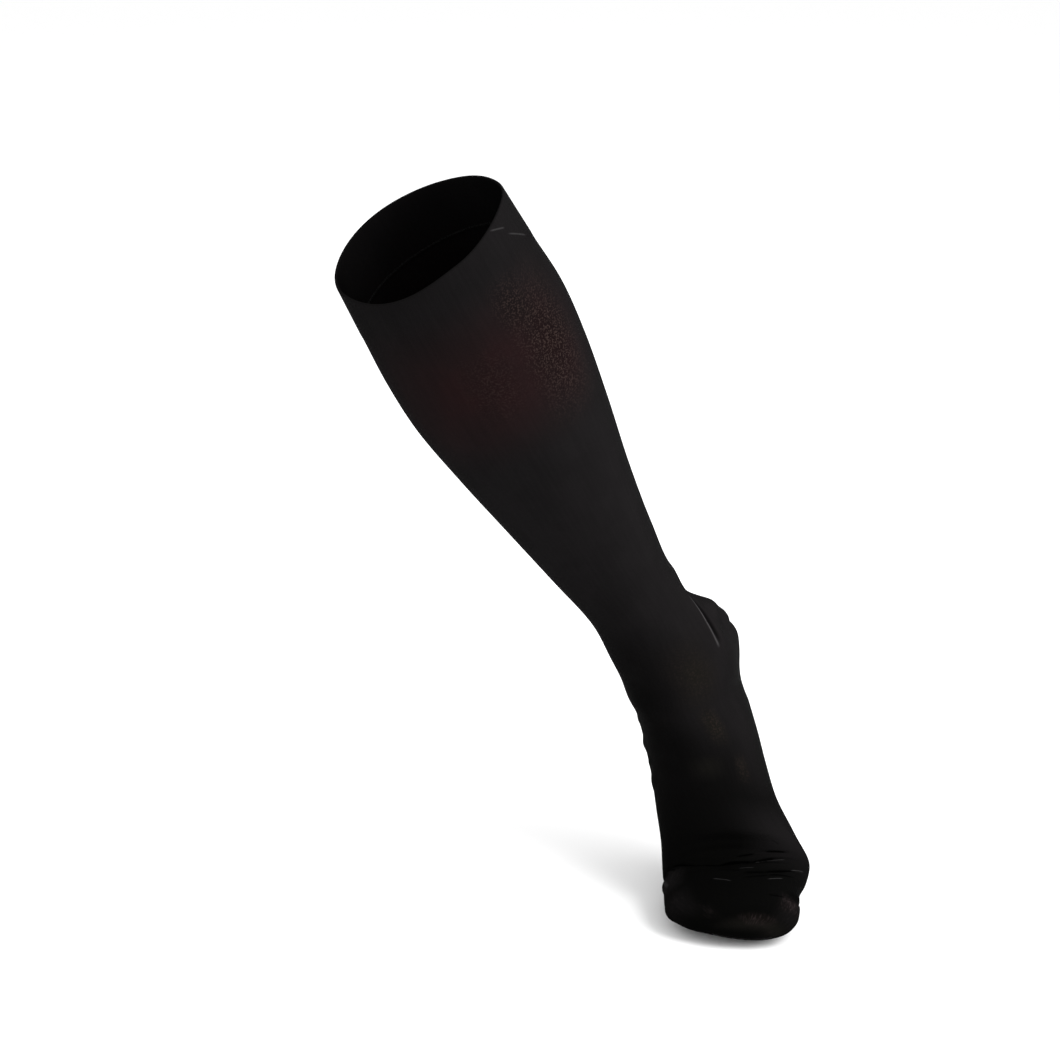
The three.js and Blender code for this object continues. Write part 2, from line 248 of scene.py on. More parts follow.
# %% [markdown]
# ## Broad folds
# These are the folds that the solids have too: the bend at the base of the toes, the hollows beside the
# heel cord, and soft rolls on the sole and the outer side. The last five are the cloth's own, and shape
# the notch over the heel. The top edge isn't quite level: it is pulled up on the inner side and sags at
# the front. In the tables, long is the size round the tube, and broad the size down it.

# %% Table of broad folds
BROAD_FOLDS = (  # at, turn, long, broad, slope, depth
    (18.3, 0.61, 68, 9, -0.3, -1.5),
    (18.2, 0.42, 56, 9, 0.33, -1.6),
    (17.75, 0.42, 40, 8, 0.33, -0.9),
    (18.7, 0.39, 42, 8, 0.33, -1.2),
    (18.0, 0.52, 76, 8, 0, 0.4),
    (18.95, 0.55, 60, 9, -0.1, 0.5),
    (18.5, 0.74, 26, 11, 0, 1.3),
    (17.3, 0.55, 64, 11, -0.1, 0.3),
    (19.7, 0.27, 24, 9, 0.15, -1.8),
    (17.8, 0.77, 24, 9, -0.1, -1.5),
    (15.6, 0.02, 62, 13, 0.06, -1.2),
    (16.9, 0.95, 54, 10, -0.08, -1),
    (14.6, 0.06, 44, 14, 0.1, 1),
    (20.1, 0.762, 18, 16, 0, 1),
    (22.05, 0.06, 64, 26, 0, 2),
    (7.72, 0.155, 58, 46, 0, -5.2),
    (8.2, 0.14, 34, 62, 0, -4.5),
    (8.2, 0.86, 34, 62, 0, -3.5),
    (8.1, 0.24, 24, 66, 0, -1.8),
    (7.95, 0.315, 28, 64, 0, 1.4),
    (9.4, 0.155, 46, 52, 0, 2),
    (11.35, 0.15, 36, 18, 0, -1.8),
    (7.2, 0.02, 48, 16, 0.05, -1.3),
    (6.7, 0.97, 40, 15, -0.06, -1),
    (12.6, 0.72, 36, 16, 0.2, 1.2),
    (14.1, 0.73, 30, 16, 0.2, 1),
    # finer than the solids have them: the notch over the heel and the round top of the heel
    (7.38, 0.2, 50, 24, 0, -3.5),
    (7.95, 0.22, 36, 24, 0, 3.4),
    (7.8, 0.222, 30, 20, 0, 3.2),
    (8.3, 0.195, 26, 22, 0, 2.4),
    (7.9, 0.075, 40, 32, 0, -3),
)
EDGE_WAVES = ((0.325, 100, 4.4), (0.58, 90, -4), (0.95, 110, 2))  # turn, long, rise


def hump(distance, breadth):
    return (1 - np.minimum(1, np.abs(distance) / (breadth / 2)) ** 2) ** 2


def wrapped(turns):
    """Turns from -0.5 to 0.5, so that a distance round the tube goes the shorter way."""
    return turns - np.round(turns)


def edge_lift(ways, turns, girth):
    lift = np.zeros((len(ways), len(turns)))
    for turn, long, rise in EDGE_WAVES:
        lift += rise * hump(wrapped(turns - turn) * girth[:, None], long)
    return lift * np.maximum(0, 1 - ways / WAYS[1])[:, None]


def broad_relief(ways, turns, girth):
    relief = np.zeros((len(ways), len(turns)))
    for at, turn, long, broad, slope, depth in BROAD_FOLDS:
        round_mm = wrapped(turns - turn) * girth[:, None]
        down_mm = ways[:, None] - way_at(at) - slope * round_mm
        relief += depth * hump(round_mm, long) * hump(down_mm, broad)
    return relief


print("broad folds:", len(BROAD_FOLDS))

# %% [markdown]
# ## Creases of the cloth
# A thin knit under tension lies smooth, and gathers only where the joint under it bends. Each crease is a
# short line of points on the cloth, given by section and turn. It fades out at both ends and is never as
# deep as a fold of heavy cloth. Those at the base of the toes follow the photo, and the hidden ones on
# the sole, the heel cord and the outer side are of the same kind.

# %% Table of creases
CREASES = (  # line of (section, turn), breadth, depth
    # the long dark crease over the base of the toes
    (((17.7, 0.74), (18.0, 0.69), (18.37, 0.638), (18.53, 0.554)), 3.0, -1.1),
    (((18.55, 0.59), (18.5, 0.52), (18.31, 0.45), (18.0, 0.39), (17.8, 0.35)), 3.0, -1.2),
    # the shorter ones above and below it
    (((18.2, 0.52), (17.95, 0.455)), 2.6, -0.8),
    (((17.75, 0.44), (17.38, 0.37)), 2.6, -0.9),
    (((18.95, 0.475), (18.74, 0.396), (18.32, 0.305)), 2.8, -1.0),
    (((19.28, 0.47), (18.97, 0.38), (18.62, 0.3)), 2.4, -0.6),
    (((20.1, 0.38), (19.92, 0.31)), 2.4, -0.6),
    (((20.05, 0.315), (19.85, 0.272)), 3.0, -0.9),
    # the raised cloth between them
    (((18.78, 0.655), (18.92, 0.6)), 3.6, 0.3),
    (((19.4, 0.575), (19.45, 0.5)), 4.0, 0.4),
    (((19.0, 0.4), (18.7, 0.33)), 3.6, 0.6),
    (((18.55, 0.345), (18.15, 0.29)), 4.0, 0.8),
    (((20.6, 0.3), (20.9, 0.262)), 9.0, 0.7),
    (((17.5, 0.755), (18.5, 0.7)), 6.0, 0.7),
    # ripples above the toes, paler by a painted highlight
    (((15.75, 0.47), (15.6, 0.37)), 3.4, 0.35),
    (((16.4, 0.46), (16.3, 0.4)), 4.0, 0.2),
    # the ridges by the opening of the band
    (((0.1, 0.372), (0.3, 0.343)), 2.4, 0.4),
    (((0.38, 0.338), (0.9, 0.262)), 2.4, 0.45),
    # the thin tight line over the inner ankle, and the trough beside it
    (((7.33, 0.295), (7.77, 0.318), (8.05, 0.326), (8.53, 0.33)), 4.0, 0.5),
    (((7.28, 0.278), (7.8, 0.301), (8.1, 0.309), (8.55, 0.314)), 6.5, -1.2),
    # the heel cord, hidden at the back
    (((6.5, 0.07), (6.42, 0.98), (6.5, 0.9)), 5.0, -0.7),
    (((6.85, 0.1), (6.8, 0.02), (6.88, 0.93)), 5.0, -0.8),
    (((7.25, 0.09), (7.15, 0.0), (7.25, 0.92)), 5.5, -0.9),
    (((7.05, 0.08), (7.0, 0.97)), 5.0, 0.6),
    # the sole at the ball and in the arch
    (((15.9, 0.12), (16.0, 0.02), (15.9, 0.9)), 5.0, -0.8),
    (((16.6, 0.1), (16.75, 0.0), (16.6, 0.88)), 4.5, -0.7),
    (((13.6, 0.16), (13.8, 0.08)), 6.0, -0.6),
    (((12.6, 0.15), (12.9, 0.06)), 6.0, -0.5),
    # the outer side of the foot
    (((11.6, 0.71), (11.1, 0.65)), 7.0, 0.6),
    (((13.5, 0.74), (13.2, 0.68)), 7.0, 0.6),
    (((14.9, 0.76), (14.6, 0.7)), 6.0, -0.5),
)
END_SHARE, END_FADE = 0.02, 0.6  # how a crease fades out at both ends


def crease_relief(ways, turns):
    relief = np.zeros((len(ways), len(turns)))
    for line, breadth, depth in CREASES:
        at = np.array([way_at(section) for section, _ in line])
        girth = np.interp(at.mean(), GIRTH_WAYS, GIRTHS)
        middle = line[len(line) // 2][1]
        across = wrapped(np.array([turn for _, turn in line]) - middle) * girth
        rows = np.abs(ways - at.mean()) < np.ptp(at) / 2 + breadth
        x = wrapped(turns - middle) * girth
        y = ways[rows][:, None]
        steps = np.hypot(np.diff(across), np.diff(at))
        run = np.concatenate([[0], np.cumsum(steps)])
        nearest = np.full((rows.sum(), len(turns)), np.inf)
        place = np.zeros_like(nearest)
        for i, step in enumerate(steps):
            ux, uy = (across[i + 1] - across[i]) / step, (at[i + 1] - at[i]) / step
            t = np.clip((x - across[i]) * ux + (y - at[i]) * uy, 0, step)
            apart = np.hypot(x - across[i] - t * ux, y - at[i] - t * uy)
            place = np.where(apart < nearest, (run[i] + t) / run[-1], place)
            nearest = np.minimum(nearest, apart)
        ends = np.sin(math.pi * np.clip(place, END_SHARE, 1 - END_SHARE)) ** END_FADE
        relief[rows] += depth * hump(nearest, breadth) * ends
    return relief


print("creases:", len(CREASES))

# %% [markdown]
# ## Skins of cloth
# Each stretch of cloth is a closed shell: an outer skin, an inner skin behind it and a cut edge at each
# end. The rings lie closer together where there are creases.

# %% Grids of points
CLOTH = 0.85  # thickness of one layer of knit
SHARP_ANGLE = math.radians(60)


def spaced(*spans):
    """Ways from spans of (first, last, step), each in millimetres."""
    found = [spans[0][0]]
    for first, last, step in spans:
        count = max(1, round((last - first) / step))
        found += list(first + (last - first) * (np.arange(count) + 1) / count)
    return np.array(found)


def cloth_rings(ways, columns, out):
    """Rings of points of the creased cloth, some millimetres out from the form."""
    ways = np.asarray(ways, float)
    turns = np.arange(columns) / columns
    rings = smooth_rings(ways, columns)
    girth = girths(rings)
    relief = broad_relief(ways, turns, girth) + crease_relief(ways, turns)
    outward, down = cloth_directions(ways, columns)
    lift = edge_lift(ways, turns, girth)
    return rings + outward * (relief + out)[:, :, None] - down * lift[:, :, None]


def shell_mesh(name, rings, ways):
    """A closed mesh from rings of points. A ring with one point is a pole."""
    vertices, firsts = [], []
    for ring in rings:
        firsts.append(len(vertices))
        vertices.extend(ring)
    columns = max(len(ring) for ring in rings)
    faces, corners = [], []
    for i in range(len(rings)):
        k = (i + 1) % len(rings)
        a, b = firsts[i], firsts[k]
        # Between the two poles at the tip of the toe this also makes a fan that lies hidden in the cloth.
        for j in range(columns):
            n = (j + 1) % columns
            u0, u1 = j / columns, (j + 1) / columns
            if len(rings[i]) == 1:
                faces.append((a, b + n, b + j))
                corners += [(u0, ways[i]), (u1, ways[k]), (u0, ways[k])]
            elif len(rings[k]) == 1:
                faces.append((a + j, a + n, b))
                corners += [(u0, ways[i]), (u1, ways[i]), (u0, ways[k])]
            else:
                faces.append((a + j, a + n, b + n, b + j))
                corners += [(u0, ways[i]), (u1, ways[i]), (u1, ways[k]), (u0, ways[k])]
    mesh = bpy.data.meshes.new(name)
    mesh.from_pydata([tuple(MM * np.asarray(point)) for point in vertices], [], faces)
    mesh.update()
    uv = mesh.uv_layers.new(name="Knit")
    uv.data.foreach_set("uv", np.array([(u, way * MM) for u, way in corners], np.float32).ravel())
    mesh.shade_smooth()
    return mesh


print("one layer of cloth is", CLOTH, "mm thick")

# %% [markdown]
# ## How far the knit opens
# Graduated compression comes from a tube that is knitted narrower than the leg, most of all at the ankle.
# The relaxed girths are usual ones for this size of stocking. The leg is knitted thinner than the foot,
# so on the leg the stretched knit opens more and looks lighter. Patches over the calf, beside the ankle
# and on the toes open a little more still, and look warm, dull or speckled. A negative share is painted
# shade, which darkens the outer side away from the key light.

# %% Stretch and openness
RELAXED = np.array((  # way, girth of the stocking when it lies flat
    (0, 262), (38, 258), (70, 250), (105, 245), (150, 236), (200, 216), (250, 184), (287, 174), (326, 180),
    (371, 192), (404, 206), (445, 206), (513, 196), (540, 182), (563, 164), (597, 92),
))


def stretch_at(ways):
    worn = np.interp(ways, GIRTH_WAYS, GIRTHS)
    return worn / np.interp(ways, RELAXED[:, 0], RELAXED[:, 1])


OPENNESS = np.array((  # way, share
    (0, 0.78), (40, 0.82), (105, 0.9), (200, 0.95), (287, 0.92), (345, 0.86),
    (385, 0.74), (415, 0.5), (440, 0.3), (470, 0.15), (520, 0.03), (597, 0.0),
))
PATCHES = (  # at, turn, long, broad, lighter, warmer, duller, specks, ticks
    (2.25, 0.5, 190, 130, 0.05, 0.8, 0, 0, 0),
    (2.3, 0.385, 60, 124, 0.12, 0.7, 0, 1.0, 0),
    (1.3, 0.41, 36, 60, 0, 0.25, 0, 0.7, 0),
    (2.3, 0.5, 50, 70, 0, 0, 0, 0.35, 0),
    (8.8, 0.43, 44, 84, 0, 0.05, 0.7, 0.18, 0),
    (11.8, 0.435, 20, 56, 0, 0, 0.8, 0.38, 0),
    (14.1, 0.4, 14, 32, 0.1, 0, 0.5, 0.28, 0),
    (13.9, 0.5, 34, 30, 0.08, 0, 0.4, 0, 0),
    (8.6, 0.25, 70, 90, 0.2, 0, 0, 0, 0),
    (13.4, 0.34, 60, 130, 0.32, 0, 0, 0, 0),
    (16.5, 0.375, 70, 80, 0.68, 0, 0, 0, 0),
    (18.8, 0.72, 30, 34, 0.6, 0, 0, 0, 0.12),
    (20.3, 0.69, 30, 44, 0.4, 0, 0, 0, 0.1),
    (22.1, 0.4, 30, 14, 0.05, 0.15, 0.4, 0, 0.9),
    (22.6, 0.38, 60, 16, 0.2, 0, 0.7, 0, 0.15),
    (21.4, 0.615, 14, 18, 0.1, 0, 0, 0, 0.22),
    (20.3, 0.288, 20, 24, 0.5, 0.12, 0, 0.2, 0.8),
    (21.2, 0.28, 26, 30, 0.3, 0, 0, 0, 0.1),
    (2.6, 0.94, 170, 150, 0.05, 0.42, 0, 0.28, 0),
    (9.9, 0.85, 70, 60, 0.2, 0, 0.3, 0.3, 0),
    (22.1, 0.9, 30, 16, 0.2, 0, 0.4, 0, 0.6),
    # painted shade: darker along the outer side, away from the key light
    (7.0, 0.62, 70, 80, -0.25, 0, 0, 0, 0),
    (8.2, 0.6, 90, 100, -0.5, 0, 0, 0, 0),
    (10.6, 0.59, 90, 100, -0.5, 0, 0, 0, 0),
    (12.8, 0.61, 80, 70, -0.2, 0, 0, 0, 0),
)
PATCH_NAMES = ("lighter", "warmer", "duller", "specks", "ticks")


def patch_values(ways, columns):
    """Shares of the five kinds of patch, each with one row of values for each way."""
    turns = np.arange(columns) / columns
    girth = np.interp(ways, GIRTH_WAYS, GIRTHS)[:, None]
    values = np.zeros((len(PATCH_NAMES), len(ways), columns))
    for at, turn, long, broad, *shares in PATCHES:
        here = hump(wrapped(turns - turn) * girth, long) * hump(ways[:, None] - way_at(at), broad)
        for kind, share in enumerate(shares):
            # a negative share adds painted shade
            if share < 0:
                values[kind] += share * here
            else:
                values[kind] = np.maximum(values[kind], share * here)
    return values


def add_point_values(mesh, name, values):
    store = mesh.attributes.new(name, "FLOAT", "POINT")
    store.data.foreach_set("value", np.asarray(values, np.float32))


def finish_cloth(name, *stretches):
    """The closed shell as an object. A stretch has rings, their ways, and 1 where it is inside."""
    rings = [ring for found, _, _ in stretches for ring in found]
    ways = np.concatenate([at for _, at, _ in stretches])
    inside = np.concatenate([np.full(len(found), side) for found, _, side in stretches])
    sizes = [len(ring) for ring in rings]
    columns = max(sizes)
    mesh = shell_mesh(name, rings, ways)
    add_point_values(mesh, "openness", np.repeat(np.interp(ways, *OPENNESS.T), sizes))
    # the inside flag also drives painted shade on the inner skin
    add_point_values(mesh, "inside", np.repeat(inside, sizes))
    # the crease relief is also stored for the painted shade in troughs and the painted highlight on ridges
    creased = crease_relief(ways, np.arange(columns) / columns)
    for key, rows in (*zip(PATCH_NAMES, patch_values(ways, columns)), ("crease", creased)):
        add_point_values(mesh, key, np.concatenate([row[:size] for row, size in zip(rows, sizes)]))
    mesh.set_sharp_from_angle(angle=SHARP_ANGLE)
    obj = bpy.data.objects.new(name, mesh)
    bpy.context.scene.collection.objects.link(obj)
    print(name, "triangles:", sum(len(face.vertices) - 2 for face in mesh.polygons))
    return obj


CALF_WAY, TOES_WAY = 105, 563
print("stretch at the calf", stretch_at(CALF_WAY).round(2), "and at the toes", stretch_at(TOES_WAY).round(2))

# %% [markdown]
# ## Leg
# The leg is one layer of knit from under the band to just above the ankle. It is tight there, so it
# has no creases but those of the heel cord. The inner skin needs fewer rings, because it shows only
# through the opening.

# %% Leg cloth
BAND_LONG = WAYS[1]
ANKLE_WAY = way_at(7.2)
LEG_SPANS = ((BAND_LONG, 240, 2.2), (240, ANKLE_WAY, 1.3))  # first way, last way, step
INNER_STEP = 4


def leg_cloth():
    outer_ways, inner_ways = spaced(*LEG_SPANS), spaced((BAND_LONG, ANKLE_WAY, INNER_STEP))
    outside = cloth_rings(outer_ways, COLUMNS, 0)
    inside = cloth_rings(inner_ways, COLUMNS, -CLOTH)
    return finish_cloth("leg_cloth", (outside, outer_ways, 0), (inside[::-1], inner_ways[::-1], 1))


leg = leg_cloth()

# %% [markdown]
# ## Heel, foot and toe
# The same tube goes on round the heel, which is knitted as a pouch, and ends in the closed toe. The
# toe end is rounded over the tips of the toes with a few shrinking rings that meet in one point.

# %% Foot cloth
FOOT_SPANS = (  # first way, last way, step
    (ANKLE_WAY, 345, 1.5),
    (345, 470, 2.2),
    (470, 508, 1.4),
    (508, 572, 0.8),
    (572, LAST_WAY, 1.6),
)
INNER_FOOT_SPANS = ((ANKLE_WAY, 500, INNER_STEP), (500, LAST_WAY, 2.5))
TOE_TIP_ROUND = 2.6
CAP_STEPS, CAP_STEP_LONG = 7, 0.6


def toe_cap(ring, reach):
    """Rings that round off the end of the toe, and the point where they meet."""
    middle = ring.mean(axis=0)
    made = []
    for step in range(1, CAP_STEPS):
        angle = math.pi / 2 * step / CAP_STEPS
        made.append(middle + (ring - middle) * math.cos(angle) + HEADING * reach * math.sin(angle))
    return made + [(middle + HEADING * reach)[None, :]]


def foot_cloth():
    outer_ways, inner_ways = spaced(*FOOT_SPANS), spaced(*INNER_FOOT_SPANS)
    outside = cloth_rings(outer_ways, COLUMNS, 0)
    inside = cloth_rings(inner_ways, COLUMNS, -CLOTH)
    cap = toe_cap(outside[-1], TOE_TIP_ROUND)
    inner_cap = toe_cap(inside[-1], TOE_TIP_ROUND - CLOTH)
    beyond = LAST_WAY + CAP_STEP_LONG * (np.arange(CAP_STEPS) + 1)
    return finish_cloth(
        "foot_cloth",
        (outside, outer_ways, 0),
        (cap, beyond, 0),
        (inner_cap[::-1], beyond[::-1], 1),
        (inside[::-1], inner_ways[::-1], 1),
    )


foot = foot_cloth()

# %% [markdown]
# ## Turned band
# At the top the tube is turned in on itself, so the band is two layers thick with a round edge and
# no cut threads. It grips the leg, so it stands a little proud, fades into the leg below and shows
# the fine ribs of its elastic.

# %% Band cloth
BAND_PROUD = 0.2
RIBS, RIB_DEPTH = 120, 0.03
FADE_LONG = 6
BAND_STEP, INNER_BAND_STEP = 0.9, 3
EDGE_STEPS, EDGE_WAY = 8, 0.5  # steps over the folded edge, and the way that its rings count as


def band_cloth():
    ways = spaced((CLOTH, BAND_LONG, BAND_STEP))
    inner_ways = spaced((CLOTH, BAND_LONG, INNER_BAND_STEP))
    turns = np.arange(BAND_COLUMNS) / BAND_COLUMNS
    fade = np.clip((BAND_LONG - ways) / FADE_LONG, 0, 1)[:, None]
    proud = BAND_PROUD * fade * fade * (3 - 2 * fade)
    ribs = RIB_DEPTH * np.cos(2 * math.pi * RIBS * turns) * fade
    outside = cloth_rings(ways, BAND_COLUMNS, proud + ribs)
    inside = cloth_rings(inner_ways, BAND_COLUMNS, BAND_PROUD - 2 * CLOTH)
    _, down = cloth_directions([CLOTH], BAND_COLUMNS)
    middle, half = (outside[0] + inside[0]) / 2, (outside[0] - inside[0]) / 2
    angles = np.linspace(math.pi, 0, EDGE_STEPS + 1)[1:-1]
    over = [middle + half * math.cos(a) - down[0] * CLOTH * math.sin(a) for a in angles]
    top = len(over) // 2
    return finish_cloth(
        "turned_band",
        (over[top:], [EDGE_WAY] * (len(over) - top), 0),
        (outside, ways, 0),
        (inside[::-1], inner_ways[::-1], 1),
        (over[:top], [EDGE_WAY] * top, 1),
    )


band = band_cloth()

# %% [markdown]
# ## Making nodes
# The links and the materials are made of nodes. The first helper joins a socket to another one or sets
# its value, and the second one makes a node, sets its options, and then feeds its inputs.

# %% Node helpers
def feed(tree, socket, value):
    if isinstance(value, bpy.types.NodeSocket):
        tree.links.new(value, socket)
    else:
        socket.default_value = value


def add_node(tree, kind, inputs=None, **options):
    """The outputs of a new node. Its inputs are given by name, or by number where names repeat."""
    node = tree.nodes.new(kind)
    for key, value in options.items():
        setattr(node, key, value)
    for key, value in (inputs or {}).items():
        feed(tree, node.inputs[key], value)
    return node.outputs


def math_node(tree, operation, *values, clamp=False):
    inputs = dict(enumerate(values))
    return add_node(tree, "ShaderNodeMath", inputs, operation=operation, use_clamp=clamp)[0]


def smooth_step(tree, value, low, high):
    inputs = {"Value": value, "From Min": low, "From Max": high}
    return add_node(tree, "ShaderNodeMapRange", inputs, interpolation_type="SMOOTHSTEP")["Result"]


def noise(tree, vector, scale):
    inputs = {"Vector": vector, "Scale": scale, "Detail": 3.0, "Roughness": 0.5}
    return add_node(tree, "ShaderNodeTexNoise", inputs)["Fac"]


def attribute(tree, name):
    return add_node(tree, "ShaderNodeAttribute", attribute_name=name)["Fac"]


def blend_colour(tree, share, *ends):
    first, second = (end if isinstance(end, bpy.types.NodeSocket) else (*end, 1) for end in ends)
    return add_node(tree, "ShaderNodeMix", {0: share, 6: first, 7: second}, data_type="RGBA")[2]


def use_group(tree, group, **values):
    return add_node(tree, "ShaderNodeGroup", values, node_tree=group)


def new_material(name):
    """A material with no nodes yet, and its tree."""
    material = bpy.data.materials.new(name)
    material.use_nodes = True
    material.node_tree.nodes.clear()
    return material, material.node_tree


def surface(tree, looks):
    shader = add_node(tree, "ShaderNodeBsdfPrincipled", looks)
    add_node(tree, "ShaderNodeOutputMaterial", {"Surface": shader["BSDF"]})


def new_group(name, inputs, outputs):
    """An empty shader group. An input is a vector where its default is one, and else a number."""
    group = bpy.data.node_groups.new(name, "ShaderNodeTree")
    for key, default in inputs.items():
        kind = "NodeSocketVector" if isinstance(default, tuple) else "NodeSocketFloat"
        group.interface.new_socket(name=key, in_out="INPUT", socket_type=kind).default_value = default
    for key in outputs:
        group.interface.new_socket(name=key, in_out="OUTPUT", socket_type="NodeSocketFloat")
    return group, group.nodes.new("NodeGroupInput").outputs, group.nodes.new("NodeGroupOutput").inputs


print("node helpers ready")

# %% [markdown]
# ## Linked stitches
# The turned hem is joined to the leg by a course of linked stitches on the inside, and the toe is closed
# by another one under the tips of the toes. Both repeat one small link along a path, which is work for
# Geometry Nodes. The group is built here, gets its inputs by name, and its result becomes a plain mesh.

# %% Node group that sets links along a path
LINK_INPUTS = (  # name, default, lowest, highest, lengths in metres
    ("Spacing", 0.0019, 0.0002, 0.01),
    ("Link length", 0.0013, 0.0002, 0.01),
    ("Link width", 0.0008, 0.0002, 0.01),
    ("Thread", 0.00022, 0.00005, 0.001),
    ("Unevenness", 0.12, 0.0, 0.5),
)
LINK_CORNERS, THREAD_CORNERS = 12, 5


def named_socket(group, name, kind, *values):
    """An input of a group. The values are its default, lowest and highest ones."""
    socket = group.interface.new_socket(name=name, in_out="INPUT", socket_type=kind)
    for key, value in zip(("default_value", "min_value", "max_value"), values):
        setattr(socket, key, value)


def link_group():
    group = bpy.data.node_groups.new("Links along a path", "GeometryNodeTree")
    named_socket(group, "Path", "NodeSocketGeometry")
    for name, *values in LINK_INPUTS:
        named_socket(group, name, "NodeSocketFloat", *values)
    named_socket(group, "Seed", "NodeSocketInt", 4, 0, 1000)
    named_socket(group, "Material", "NodeSocketMaterial")
    group.interface.new_socket(name="Links", in_out="OUTPUT", socket_type="NodeSocketGeometry")
    given, made = group.nodes.new("NodeGroupInput").outputs, group.nodes.new("NodeGroupOutput").inputs

    def add(kind, inputs=None, **options):
        return add_node(group, kind, inputs, **options)

    path = add("GeometryNodeMeshToCurve", {"Mesh": given["Path"]})["Curve"]
    spaced_path = {"Curve": path, "Length": given["Spacing"]}
    places = add("GeometryNodeResampleCurve", spaced_path, mode="LENGTH")["Curve"]

    ring = add("GeometryNodeCurvePrimitiveCircle", {"Resolution": LINK_CORNERS, "Radius": 0.5})["Curve"]
    size = add("ShaderNodeCombineXYZ", {"X": given["Link length"], "Y": given["Link width"], "Z": 1.0})
    oval = add("GeometryNodeTransform", {"Geometry": ring, "Scale": size["Vector"]})["Geometry"]
    round_thread = {"Resolution": THREAD_CORNERS, "Radius": given["Thread"]}
    profile = add("GeometryNodeCurvePrimitiveCircle", round_thread)["Curve"]
    link = add("GeometryNodeCurveToMesh", {"Curve": oval, "Profile Curve": profile})["Mesh"]

    tangent = add("GeometryNodeInputTangent")["Tangent"]
    outward = add("GeometryNodeInputNamedAttribute", {"Name": "outward"}, data_type="FLOAT_VECTOR")
    along = add("FunctionNodeAlignRotationToVector", {"Vector": tangent}, axis="X")["Rotation"]
    lying = {"Rotation": along, "Vector": outward["Attribute"]}
    flat = add("FunctionNodeAlignRotationToVector", lying, axis="Z", pivot_axis="X")["Rotation"]

    low = math_node(group, "SUBTRACT", 1.0, given["Unevenness"])
    high = math_node(group, "ADD", 1.0, given["Unevenness"])
    uneven = add("FunctionNodeRandomValue", {2: low, 3: high, "Seed": given["Seed"]})[1]
    repeated = {"Points": places, "Instance": link, "Rotation": flat, "Scale": uneven}
    placed = add("GeometryNodeInstanceOnPoints", repeated)["Instances"]
    real = add("GeometryNodeRealizeInstances", {"Geometry": placed})["Geometry"]
    painted = add("GeometryNodeSetMaterial", {"Geometry": real, "Material": given["Material"]})
    group.links.new(painted["Geometry"], made["Links"])
    return group


def sockets_of(group, side="INPUT"):
    """The sockets on one side of a group, as their identifiers by name."""
    items = [item for item in group.interface.items_tree if item.item_type == "SOCKET"]
    return {item.name: item.identifier for item in items if item.in_out == side}


LINKS = link_group()
print("inputs of the group:", list(sockets_of(LINKS)))

# %% [markdown]
# ## Where the links run
# The path of a course is a ring of one skin, or a part of one. It carries the direction out of the
# cloth, so the links lie flat on it. They sink into the cloth by a quarter to a third of their thread.

# %% Paths for the links
def path_mesh(name, points, outward, closed):
    count = len(points)
    edges = [(i, (i + 1) % count) for i in range(count if closed else count - 1)]
    mesh = bpy.data.meshes.new(name)
    mesh.from_pydata([tuple(point * MM) for point in points], edges, [])
    store = mesh.attributes.new("outward", "FLOAT_VECTOR", "POINT")
    store.data.foreach_set("vector", np.asarray(outward, np.float32).ravel())
    return mesh


def linked_course(name, way, out, columns, facing, values):
    """The links of one course as a plain mesh. facing is -1 on the inside of the cloth."""
    ring = cloth_rings([way], COLUMNS, out)[0][columns % COLUMNS]
    outward = next(cloth_directions([way], COLUMNS))[0][columns % COLUMNS] * facing
    obj = bpy.data.objects.new(name, path_mesh(name, ring, outward, len(columns) == COLUMNS))
    bpy.context.scene.collection.objects.link(obj)
    sockets = sockets_of(LINKS)
    modifier = obj.modifiers.new("Links", "NODES")
    modifier.node_group = LINKS
    for key, value in {**values, "Material": THREAD}.items():
        modifier[sockets[key]] = value
    seen = bpy.context.evaluated_depsgraph_get()
    plain = bpy.data.meshes.new_from_object(obj.evaluated_get(seen), depsgraph=seen)
    obj.modifiers.clear()
    obj.data = plain
    plain.shade_smooth()
    print(name, "links as a mesh of", sum(len(p.vertices) - 2 for p in plain.polygons), "triangles")
    return obj


# %% [markdown]
# ## The plain knit
# Shared effects are node groups that give out only masks and heights, so that each cloth keeps its own
# shader. They read the cloth's own map, where the first coordinate goes once round and the second one is
# the way down in metres. Each wale is a column of loops, and each loop leans to both sides of its middle
# line, which gives the small V forms of a plain knit. This group gives the height of the yarn and where
# the gaps lie.

# %% Knit group
LOOP_WAVE = 0.3
GAP_STARTS, GAP_DEEPEST = 0.45, 0.1


def knit_map(tree):
    return add_node(tree, "ShaderNodeUVMap", uv_map="Knit")["UV"]


def knit_group():
    inputs = {"Wales": 360.0, "Course": 0.0007, "Slant": 0.6}
    group, given, made = new_group("Plain knit", inputs, ("Height", "Gap"))
    parts = add_node(group, "ShaderNodeSeparateXYZ", {"Vector": knit_map(group)})
    wale = math_node(group, "MULTIPLY", parts["X"], given["Wales"])
    course = math_node(group, "DIVIDE", parts["Y"], given["Course"])
    side = math_node(group, "ABSOLUTE", math_node(group, "SUBTRACT", math_node(group, "FRACT", wale), 0.5))
    slanted = math_node(group, "ADD", course, math_node(group, "MULTIPLY", side, given["Slant"]))
    wave = math_node(group, "COSINE", math_node(group, "MULTIPLY", slanted, 2 * math.pi))
    leg_of_loop = math_node(group, "SINE", math_node(group, "MULTIPLY", side, 2 * math.pi))
    swell = math_node(group, "MULTIPLY_ADD", wave, LOOP_WAVE, 1 - LOOP_WAVE)
    height = math_node(group, "MULTIPLY", leg_of_loop, swell)
    group.links.new(height, made["Height"])
    group.links.new(smooth_step(group, height, GAP_STARTS, GAP_DEEPEST), made["Gap"])
    return group


KNIT = knit_group()
print("knit group outputs:", list(sockets_of(KNIT, "OUTPUT")))

